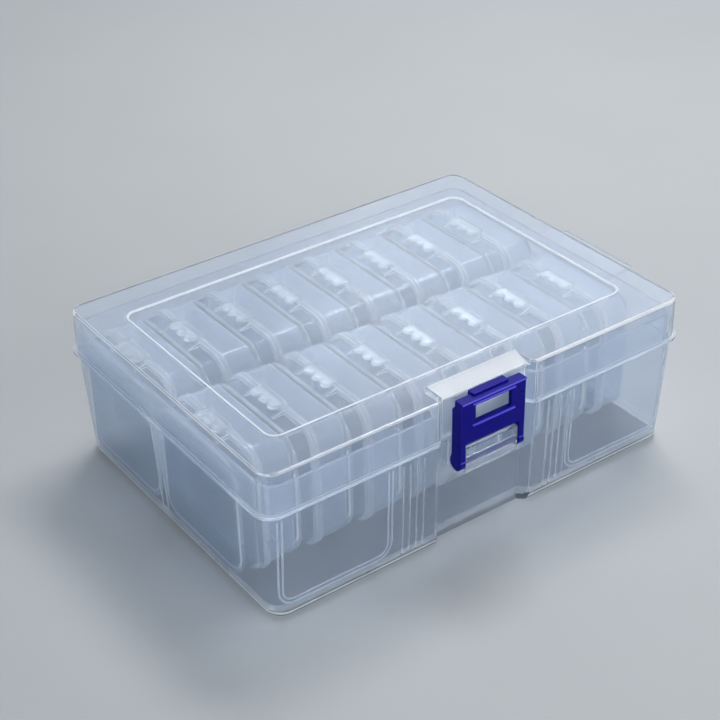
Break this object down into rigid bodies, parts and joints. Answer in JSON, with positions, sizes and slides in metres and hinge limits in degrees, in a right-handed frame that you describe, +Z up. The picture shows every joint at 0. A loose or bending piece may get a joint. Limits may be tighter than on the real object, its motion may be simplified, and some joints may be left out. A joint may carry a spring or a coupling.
{
  "type": "bead organizer",
  "caption": "Clear snap case with a hinged lid, a side hang tab and a front latch, holding two rows of small upright hinged boxes for beads.",
  "frame": {"origin": "centre of the case's flat underside, on the middle of its length and width without the hang tab", "axes": "+X along the long side towards the hang tab, +Y towards the lid hinge at the back (the latch is on -Y), +Z up"},
  "size_m": [0.2438, 0.166, 0.0726],
  "materials": {
    "clear_case": "clear moulded polypropylene, polished, faintly blue",
    "clear_box": "clear moulded polypropylene with white moulded edges and a frosted tab",
    "blue_latch": "opaque dark blue moulded plastic, satin gloss"
  },
  "bodies": {
    "case": {"case_base": "clear_case"},
    "lid": {"case_lid": "clear_case"},
    "latch": {"latch": "blue_latch"},
    "box_f1": {"box_f1_tray": "clear_box"},
    "cover_f1": {"box_f1_cover": "clear_box"},
    "box_f2": {"box_f2_tray": "clear_box"},
    "cover_f2": {"box_f2_cover": "clear_box"},
    "box_f3": {"box_f3_tray": "clear_box"},
    "cover_f3": {"box_f3_cover": "clear_box"},
    "box_f4": {"box_f4_tray": "clear_box"},
    "cover_f4": {"box_f4_cover": "clear_box"},
    "box_f5": {"box_f5_tray": "clear_box"},
    "cover_f5": {"box_f5_cover": "clear_box"},
    "box_f6": {"box_f6_tray": "clear_box"},
    "cover_f6": {"box_f6_cover": "clear_box"},
    "box_f7": {"box_f7_tray": "clear_box"},
    "cover_f7": {"box_f7_cover": "clear_box"},
    "box_f8": {"box_f8_tray": "clear_box"},
    "cover_f8": {"box_f8_cover": "clear_box"},
    "box_b1": {"box_b1_tray": "clear_box"},
    "cover_b1": {"box_b1_cover": "clear_box"},
    "box_b2": {"box_b2_tray": "clear_box"},
    "cover_b2": {"box_b2_cover": "clear_box"},
    "box_b3": {"box_b3_tray": "clear_box"},
    "cover_b3": {"box_b3_cover": "clear_box"},
    "box_b4": {"box_b4_tray": "clear_box"},
    "cover_b4": {"box_b4_cover": "clear_box"},
    "box_b5": {"box_b5_tray": "clear_box"},
    "cover_b5": {"box_b5_cover": "clear_box"},
    "box_b6": {"box_b6_tray": "clear_box"},
    "cover_b6": {"box_b6_cover": "clear_box"},
    "box_b7": {"box_b7_tray": "clear_box"},
    "cover_b7": {"box_b7_cover": "clear_box"},
    "box_b8": {"box_b8_tray": "clear_box"},
    "cover_b8": {"box_b8_cover": "clear_box"}
  },
  "joints": [
    {"name": "lid_hinge", "type": "hinge", "parent": "case", "child": "lid", "pos_m": [0, 0.08165, 0.0508], "axis": [-1, 0, 0], "range_deg": [0, 110]},
    {"name": "latch_pivot", "type": "hinge", "parent": "case", "child": "latch", "pos_m": [0, -0.07715, 0.039], "axis": [1, 0, 0], "range_deg": [0, 150]},
    {"name": "lift_f1", "type": "slide", "parent": "case", "child": "box_f1", "axis": [0, 0, 1], "range_m": [0, 0.0068]},
    {"name": "open_f1", "type": "hinge", "parent": "box_f1", "child": "cover_f1", "pos_m": [-0.09375, -0.02155, 0.0023], "axis": [0, -1, 0], "range_deg": [0, 0.6]},
    {"name": "lift_f2", "type": "slide", "parent": "case", "child": "box_f2", "axis": [0, 0, 1], "range_m": [0, 0.0068]},
    {"name": "open_f2", "type": "hinge", "parent": "box_f2", "child": "cover_f2", "pos_m": [-0.06775, -0.02155, 0.0023], "axis": [0, -1, 0], "range_deg": [0, 0.6]},
    {"name": "lift_f3", "type": "slide", "parent": "case", "child": "box_f3", "axis": [0, 0, 1], "range_m": [0, 0.0068]},
    {"name": "open_f3", "type": "hinge", "parent": "box_f3", "child": "cover_f3", "pos_m": [-0.04175, -0.02155, 0.0023], "axis": [0, -1, 0], "range_deg": [0, 0.6]},
    {"name": "lift_f4", "type": "slide", "parent": "case", "child": "box_f4", "axis": [0, 0, 1], "range_m": [0, 0.0068]},
    {"name": "open_f4", "type": "hinge", "parent": "box_f4", "child": "cover_f4", "pos_m": [-0.01575, -0.02155, 0.0023], "axis": [0, -1, 0], "range_deg": [0, 0.6]},
    {"name": "lift_f5", "type": "slide", "parent": "case", "child": "box_f5", "axis": [0, 0, 1], "range_m": [0, 0.0068]},
    {"name": "open_f5", "type": "hinge", "parent": "box_f5", "child": "cover_f5", "pos_m": [0.01025, -0.02155, 0.0023], "axis": [0, -1, 0], "range_deg": [0, 0.6]},
    {"name": "lift_f6", "type": "slide", "parent": "case", "child": "box_f6", "axis": [0, 0, 1], "range_m": [0, 0.0068]},
    {"name": "open_f6", "type": "hinge", "parent": "box_f6", "child": "cover_f6", "pos_m": [0.03625, -0.02155, 0.0023], "axis": [0, -1, 0], "range_deg": [0, 0.6]},
    {"name": "lift_f7", "type": "slide", "parent": "case", "child": "box_f7", "axis": [0, 0, 1], "range_m": [0, 0.0068]},
    {"name": "open_f7", "type": "hinge", "parent": "box_f7", "child": "cover_f7", "pos_m": [0.06225, -0.02155, 0.0023], "axis": [0, -1, 0], "range_deg": [0, 0.6]},
    {"name": "lift_f8", "type": "slide", "parent": "case", "child": "box_f8", "axis": [0, 0, 1], "range_m": [0, 0.0068]},
    {"name": "open_f8", "type": "hinge", "parent": "box_f8", "child": "cover_f8", "pos_m": [0.08825, -0.02155, 0.0023], "axis": [0, -1, 0], "range_deg": [0, 0.6]},
    {"name": "lift_b1", "type": "slide", "parent": "case", "child": "box_b1", "axis": [0, 0, 1], "range_m": [0, 0.0068]},
    {"name": "open_b1", "type": "hinge", "parent": "box_b1", "child": "cover_b1", "pos_m": [-0.09375, 0.04295, 0.0023], "axis": [0, -1, 0], "range_deg": [0, 0.6]},
    {"name": "lift_b2", "type": "slide", "parent": "case", "child": "box_b2", "axis": [0, 0, 1], "range_m": [0, 0.0068]},
    {"name": "open_b2", "type": "hinge", "parent": "box_b2", "child": "cover_b2", "pos_m": [-0.06775, 0.04295, 0.0023], "axis": [0, -1, 0], "range_deg": [0, 0.6]},
    {"name": "lift_b3", "type": "slide", "parent": "case", "child": "box_b3", "axis": [0, 0, 1], "range_m": [0, 0.0068]},
    {"name": "open_b3", "type": "hinge", "parent": "box_b3", "child": "cover_b3", "pos_m": [-0.04175, 0.04295, 0.0023], "axis": [0, -1, 0], "range_deg": [0, 0.6]},
    {"name": "lift_b4", "type": "slide", "parent": "case", "child": "box_b4", "axis": [0, 0, 1], "range_m": [0, 0.0068]},
    {"name": "open_b4", "type": "hinge", "parent": "box_b4", "child": "cover_b4", "pos_m": [-0.01575, 0.04295, 0.0023], "axis": [0, -1, 0], "range_deg": [0, 0.6]},
    {"name": "lift_b5", "type": "slide", "parent": "case", "child": "box_b5", "axis": [0, 0, 1], "range_m": [0, 0.0068]},
    {"name": "open_b5", "type": "hinge", "parent": "box_b5", "child": "cover_b5", "pos_m": [0.01025, 0.04295, 0.0023], "axis": [0, -1, 0], "range_deg": [0, 0.6]},
    {"name": "lift_b6", "type": "slide", "parent": "case", "child": "box_b6", "axis": [0, 0, 1], "range_m": [0, 0.0068]},
    {"name": "open_b6", "type": "hinge", "parent": "box_b6", "child": "cover_b6", "pos_m": [0.03625, 0.04295, 0.0023], "axis": [0, -1, 0], "range_deg": [0, 0.6]},
    {"name": "lift_b7", "type": "slide", "parent": "case", "child": "box_b7", "axis": [0, 0, 1], "range_m": [0, 0.0068]},
    {"name": "open_b7", "type": "hinge", "parent": "box_b7", "child": "cover_b7", "pos_m": [0.06225, 0.04295, 0.0023], "axis": [0, -1, 0], "range_deg": [0, 0.6]},
    {"name": "lift_b8", "type": "slide", "parent": "case", "child": "box_b8", "axis": [0, 0, 1], "range_m": [0, 0.0068]},
    {"name": "open_b8", "type": "hinge", "parent": "box_b8", "child": "cover_b8", "pos_m": [0.08825, 0.04295, 0.0023], "axis": [0, -1, 0], "range_deg": [0, 0.6]}
  ]
}
